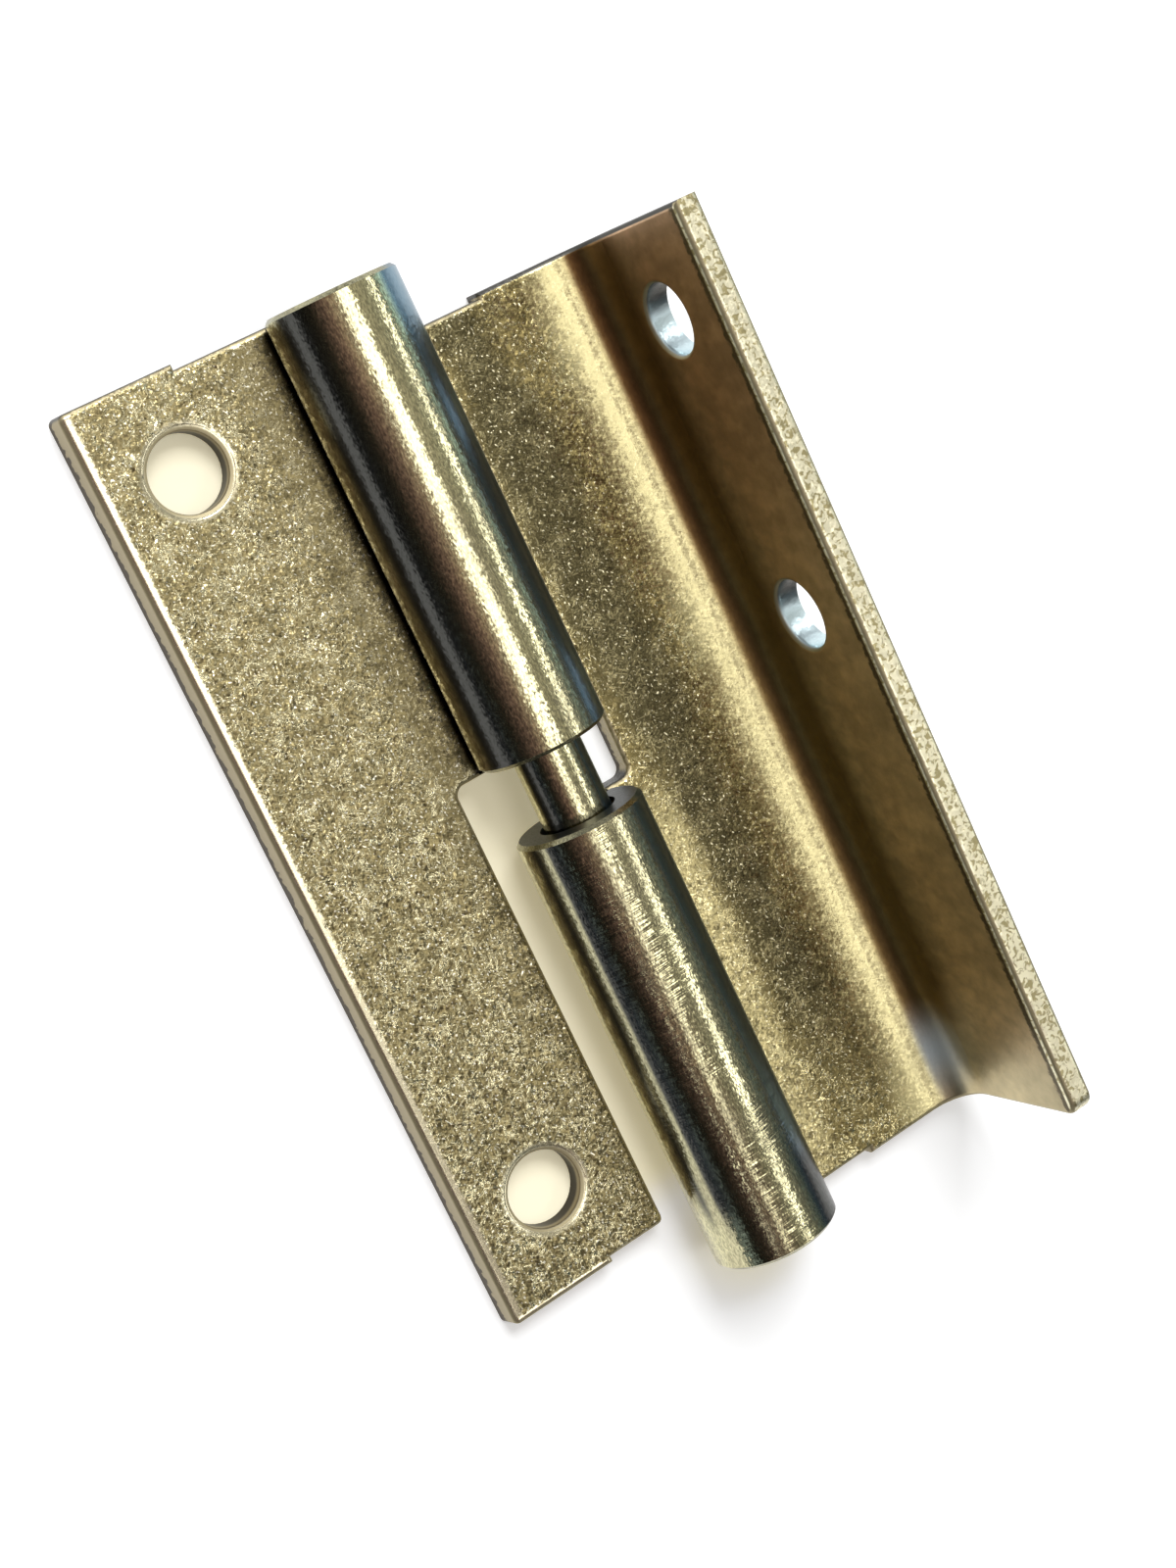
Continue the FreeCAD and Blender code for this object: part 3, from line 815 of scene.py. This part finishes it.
# %% [markdown]
# ## The flanged leaf: its flat and its bend
# Beside the barrel this leaf gets a band of painted shade that runs along it, with the flecks still bright
# in it, and a pale strip next to the knuckle where the sheet dips as it enters the roll; that strip is
# partly the dip's lean and partly painted light thrown off the barrel. Before the bend the sheet already
# leans up, as sheet does beside a press brake's tool, and that strip mirrors the box overhead as one smooth
# pale band, helped by a painted highlight colour. Towards the lower end the band is twisted a little. These
# leans could be in the model, but they are only some tenths of a millimetre deep. The outer side was not
# pressed and keeps its grain.

# %% The flanged leaf: painted shade band, dip and lift
# a band of painted shade along the leaf beside the barrel
SHADE_BAND_MIDDLE = 24.4 * MM
SHADE_BAND_SLANT = -0.06
SHADE_BAND_REACH = 4.2 * MM
SHADE_BAND_FULL = 0.9 * MM
SHADE_BAND_CELL = 5.0 * MM
SHADE_BAND_WANDER = 5.0 * MM
SHADE_BAND_END = LOWER_END + 1.5 * MM
SHADE_BAND_FADE = 16.0 * MM
DIP_START = 23.5 * MM
DIP_FULL = 21.6 * MM
DIP_UPPER = -5.0 * MM
DIP_LOWER = -11.0 * MM
DIP_LEAN = (-0.16, 0.05, 0)
LIFT_START = BEND_START - 4.2 * MM
LIFT_FULL = BEND_START + 0.25 * MM
LIFT_END = BEND_START + 0.95 * MM
LIFT_LEAN = (-0.25, 0, 0)
TWIST_END = BEND_START + 1.7 * MM
TWIST_START = 4.0 * MM
TWIST_FULL = -34.0 * MM
TWIST_LEAN = (0, 0.11, 0)

kit = start_finish("flanged_leaf_zinc", scratches=0.70, line=0.75)
tree, spot = kit.tree, kit.spot
shade_band_line = sums(tree, "MULTIPLY_ADD", spot["Y"], SHADE_BAND_SLANT, SHADE_BAND_MIDDLE)
off_shade_band = sums(tree, "ABSOLUTE", sums(tree, "SUBTRACT", spot["X"], shade_band_line))
off_shade_band = sums(tree, "ADD", off_shade_band, wander(tree, kit.place, SHADE_BAND_CELL, SHADE_BAND_WANDER))
dip = all_of(tree, ramp_between(tree, spot["X"], DIP_START, DIP_FULL),
             ramp_between(tree, spot["Y"], DIP_UPPER, DIP_LOWER))
# where the painted shade band lies
shade_band = all_of(tree, ramp_between(tree, off_shade_band, SHADE_BAND_REACH, SHADE_BAND_FULL), without(tree, dip),
               ramp_between(tree, spot["Y"], SHADE_BAND_END, SHADE_BAND_END + SHADE_BAND_FADE))
lift_start = ramp_between(tree, spot["X"], LIFT_START, LIFT_FULL)
lift = all_of(tree, lift_start, lift_start, ramp_between(tree, spot["X"], LIFT_END, LIFT_FULL))
twist = all_of(tree, ramp_between(tree, spot["Y"], TWIST_START, TWIST_FULL), lift_start,
               ramp_between(tree, spot["X"], TWIST_END, LIFT_FULL))
lifted = vectors(tree, "ADD", scaled(tree, LIFT_LEAN, lift), scaled(tree, DIP_LEAN, dip))
lifted = vectors(tree, "ADD", lifted, scaled(tree, TWIST_LEAN, twist))
print("stain and leans of the flanged leaf:", len(tree.nodes), "nodes")

# %% The flanged leaf: colour of the flat and of the band
OUTER_START = 0.3
OUTER_FULL = 0.7
BAND_START = BEND_START - 4.0 * MM
BAND_FULL = BEND_START - 0.4 * MM
# painted highlight colour for the band before the bend, and in part for the dip by the knuckle
BAND_PAINTED_HIGHLIGHT = (0.73, 0.66, 0.36, 1)
BAND_SHARE = 0.8
BAND_GRAIN = 0.26
RIGHT_GRAIN = 0.75
DIP_SMOOTH = 0.35
# painted shade in the band beside the barrel, with fewer pale dashes in it
PAINTED_SHADE_BAND = (0.105, 0.092, 0.052, 1)
SHADE_BAND_DASHES = 0.55
GOLDEN = (0.98, 0.945, 0.80)

outer = ramp_between(tree, kit.facing["X"], OUTER_START, OUTER_FULL)
band = all_of(tree, without(tree, outer), ramp_between(tree, spot["X"], BAND_START, BAND_FULL))
smooth = sums(tree, "MAXIMUM", band, sums(tree, "MULTIPLY", dip, DIP_SMOOTH))
flat_lean = scaled(tree, kit.grain["Tilt"], mixed(tree, smooth, RIGHT_GRAIN, BAND_GRAIN, "FLOAT"))
fewer = mixed(tree, shade_band, 1.0, SHADE_BAND_DASHES, "FLOAT")
dashes = sums(tree, "MULTIPLY", kit.grain["Dashes"], fewer)
# painted shade band in the ground colour
ground = mixed(tree, shade_band, OLIVE, PAINTED_SHADE_BAND)
flat = vectors(tree, "MULTIPLY", grained(kit, dashes, ground), GOLDEN)
# painted highlight on the band before the bend, and a weaker one on the dip by the knuckle
flat = mixed(tree, sums(tree, "MULTIPLY", smooth, BAND_SHARE), flat, BAND_PAINTED_HIGHLIGHT)
print("flat of the flanged leaf:", len(tree.nodes), "nodes")

# %% [markdown]
# ## The flanged leaf: its flange
# Past the bend the inner side was wiped by the press tool: little of the grain is left, and the zinc is
# a quiet brown with faint streaks, redder in the upper half. Painted shade darkens the bend, and a painted
# reflection of the floor makes the lower end beige. There a painted bluish reflection lies in the bend,
# made dull so that the metal gives way to plain colour. The flange's upper edge is the sheet's cut edge,
# where the zinc grew in coarse bright grains, with a dark line along the inner border. The walls of the
# two screw holes get a painted highlight, with painted shade on their upper side. One material with masks
# does all this, because the marks don't follow the borders of the model's faces.

# %% The flange: wiped zinc
INSIDE_START = FLANGE_INSIDE + 0.7 * MM
INSIDE_FULL = FLANGE_INSIDE + 0.3 * MM
CALM_START = BEND_START + 0.45 * MM
CALM_FULL = BEND_START + 1.35 * MM
CALM_DARK = 0.72
CALM_LIGHT = 1.28
FLANGE_COLOUR = (0.90, 0.70, 0.41, 1)
FLANGE_DARK = (0.68, 0.535, 0.31, 1)
STREAK_WIDTH = 2.4 * MM
STREAK_LENGTH = 1.6 * MM
STREAK_START = 0.34
STREAK_FULL = 0.66
# painted shade low in the bend
BEND_PAINTED_SHADE = (0.29, 0.195, 0.075, 1)
BEND_LOW = 4.2 * MM
BEND_HIGH = 8.5 * MM
UNSHADED = (1, 1, 1, 1)
UPPER_SHADE = (0.737, 0.62, 0.62, 1)
UPPER_START = -6.0 * MM
UPPER_FULL = 20.0 * MM
# painted reflection of the floor at the flange's lower end
LOW_END_PAINTED_REFLECTION = (0.60, 0.505, 0.30, 1)
LOW_END_START = -33.5 * MM
LOW_END_FULL = -39.0 * MM
TOP_SHADE = 0.72
TOP_LOW = 8.0 * MM
TOP_HIGH = 16.0 * MM

inside = ramp_between(tree, spot["X"], INSIDE_START, INSIDE_FULL)
calm = all_of(tree, inside, ramp_between(tree, spot["X"], CALM_START, CALM_FULL))
streaks = stretched_noise(tree, kit.place, STREAK_WIDTH, STREAK_LENGTH, detail=4.0)["Fac"]
wiped_and_painted = mixed(tree, ramp_between(tree, streaks, STREAK_START, STREAK_FULL), FLANGE_DARK, FLANGE_COLOUR)
# painted shade low in the bend
wiped_and_painted = mixed(tree, ramp_between(tree, spot["Z"], BEND_HIGH, BEND_LOW), wiped_and_painted, BEND_PAINTED_SHADE)
upper = all_of(tree, ramp_between(tree, spot["Y"], UPPER_START, UPPER_FULL), calm)
wiped_and_painted = vectors(tree, "MULTIPLY", wiped_and_painted, mixed(tree, upper, UNSHADED, UPPER_SHADE))
# painted reflection at the lower end of the inner side
low_end = all_of(tree, inside, ramp_between(tree, spot["Y"], LOW_END_START, LOW_END_FULL))
wiped_and_painted = mixed(tree, low_end, wiped_and_painted, LOW_END_PAINTED_REFLECTION)
high = ramp_between(tree, spot["Z"], TOP_LOW, TOP_HIGH)
wiped_and_painted = scaled(tree, wiped_and_painted, mixed(tree, high, 1.0, TOP_SHADE, "FLOAT"))
wiped_and_painted = scaled(tree, wiped_and_painted, mixed(tree, kit.grain["Mottle"], CALM_DARK, CALM_LIGHT, "FLOAT"))
print("wiped side of the flange:", len(tree.nodes), "nodes")

# %% The flange: painted blue reflection in the bend, and the upper edge
# a painted bluish reflection low in the bend, near the lower end
BLUE_PLACE = Vector((33.4, -36.7, 2.6)) * MM
BLUE_REACH = 5.2 * MM
BLUE_STRETCH = (1.6, 1.0, 1.3)
BEND_PAINTED_BLUE_REFLECTION = (0.44, 0.50, 0.52, 1)
RIM_START = FLANGE_TOP - 0.60 * MM
RIM_FULL = FLANGE_TOP - 0.42 * MM
RIM_GROUND = (0.46, 0.40, 0.21, 1)
RIM_GRAIN = (0.95, 0.90, 0.66, 1)
RIM_CELL = 0.46 * MM
RIM_SWIRL = 1.0
RIM_GRAIN_START = 0.37
RIM_GRAIN_FULL = 0.53
RIM_UPPER_SHADE = 0.84
RIM_UPPER_START = -12.0 * MM
RIM_UPPER_FULL = 14.0 * MM
BORDER_START = FLANGE_TOP - 1.25 * MM
BORDER_FULL = FLANGE_TOP - 0.85 * MM
BORDER_WANDER = 0.9 * MM
BORDER_COLOUR = (0.10, 0.078, 0.04, 1)

from_blue = vectors(tree, "MULTIPLY", vectors(tree, "SUBTRACT", kit.place, BLUE_PLACE), BLUE_STRETCH)
blue = all_of(tree, inside, ramp_between(tree, vectors(tree, "LENGTH", from_blue), BLUE_REACH, 0.0),
              sums(tree, "GREATER_THAN", kit.facing["Z"], 0.0))
# painted bluish reflection in the bend
wiped_and_painted = mixed(tree, blue, wiped_and_painted, BEND_PAINTED_BLUE_REFLECTION)
border_height = sums(tree, "ADD", spot["Z"], wander(tree, kit.place, RIM_CELL, BORDER_WANDER))
border = ramp_between(tree, border_height, BORDER_START, BORDER_FULL)
wiped_and_painted = mixed(tree, border, wiped_and_painted, BORDER_COLOUR)
rim = ramp_between(tree, spot["Z"], RIM_START, RIM_FULL)
rim_grain = stretched_noise(tree, kit.place, RIM_CELL, RIM_CELL, detail=1.5, swirl=RIM_SWIRL)["Fac"]
rim_bright = ramp_between(tree, rim_grain, RIM_GRAIN_START, RIM_GRAIN_FULL)
rim_colour = mixed(tree, rim_bright, RIM_GROUND, RIM_GRAIN)
rim_upper = ramp_between(tree, spot["Y"], RIM_UPPER_START, RIM_UPPER_FULL)
rim_colour = scaled(tree, rim_colour, mixed(tree, rim_upper, 1.0, RIM_UPPER_SHADE, "FLOAT"))
flat = mixed(tree, rim, mixed(tree, calm, flat, wiped_and_painted), rim_colour)
print("upper edge of the flange:", len(tree.nodes), "nodes")

# %% The flange: its lean and its finish
CALM_GRAIN = 0.40
RIM_LEAN = (-0.12, 0.03, 0)
BAND_ROUGHNESS = 0.36
BLUE_PATCH_DULLING = 0.7

calm_face = sums(tree, "MULTIPLY", calm, without(tree, rim))
lean = scaled(tree, flat_lean, mixed(tree, calm_face, 1.0, CALM_GRAIN, "FLOAT"))
lean = vectors(tree, "ADD", lean, lifted)
lean = vectors(tree, "ADD", lean, scaled(tree, RIM_LEAN, rim))
bright = all_of(tree, dashes, without(tree, calm), without(tree, smooth))
rough = mixed(tree, bright, GRAIN_ROUGHNESS, DASH_ROUGHNESS, "FLOAT")
rough = mixed(tree, band, rough, BAND_ROUGHNESS, "FLOAT")
colour = end_finish(kit, lean, flat, rough, all_of(tree, kit.shear["Cut"], without(tree, rim)))
# the painted blue reflection is made dull, so it shows as plain colour
feed(tree, kit.surface.inputs["Metallic"], without(tree, sums(tree, "MULTIPLY", blue, BLUE_PATCH_DULLING)))
print("lean of the flanged leaf:", len(tree.nodes), "nodes")

# %% The flange: its screw holes and its far edge
# painted highlight on the flange's hole walls, with painted shade on their upper side
WALL_PAINTED_HIGHLIGHT = (0.70, 0.84, 0.88, 1)
WALL_SHADE = (0.10, 0.095, 0.085, 1)
SHADE_START = -0.1
SHADE_FULL = 0.7
ALONG_FLANGE = (0, 1, 1)
FAR_EDGE_START = UPPER_END - 0.34 * MM
FAR_EDGE_FULL = UPPER_END - 0.24 * MM

flange_holes, hole_radius = screw_holes("flange_screws", "spacing_x_mm")
for centre in flange_holes:
    away = vectors(tree, "MULTIPLY", vectors(tree, "SUBTRACT", kit.place, centre), ALONG_FLANGE)
    wall = sums(tree, "LESS_THAN", vectors(tree, "LENGTH", away), hole_radius + HOLE_ROLL_FULL)
    upwards = add(tree, "SeparateXYZ", Vector=away).outputs["Y"]
    shaded = ramp_between(tree, upwards, SHADE_START * hole_radius, SHADE_FULL * hole_radius)
    # painted highlight and painted shade on the hole wall
    wall_light_and_shade = mixed(tree, shaded, WALL_PAINTED_HIGHLIGHT, WALL_SHADE)
    colour = mixed(tree, all_of(tree, wall, kit.shear["Cut"]), colour, wall_light_and_shade)
# painted shade along the flange's cut edge at the far end
far_edge_shade = all_of(tree, ramp_between(tree, spot["Y"], FAR_EDGE_START, FAR_EDGE_FULL), without(tree, rim))
colour = mixed(tree, far_edge_shade, colour, FAR_CUT_PAINTED_SHADE)
feed(tree, kit.surface.inputs["Base Color"], colour)
frame["nodes"]["lift_off_leaf"].data.materials[0] = kit.material
print("lift_off_leaf wears", kit.material.name, "with", len(tree.nodes), "nodes")

# %% [markdown]
# ## The pin
# The pin is turned rod with the same plating, so it takes the knuckle's finish as it is. Its distance
# from the axis is under the knuckle's everywhere, and the group that tells knuckle from leaf needs no
# change for it.

# %% The pin
kit = start_finish("pin_zinc", scratches=0.15)
end_finish(kit, kit.grain["Tilt"], grained(kit, kit.grain["Dashes"]), GRAIN_ROUGHNESS, kit.shear["Cut"])
frame["nodes"]["hinge_pin"].data.materials[0] = kit.material
print("hinge_pin wears", kit.material.name)
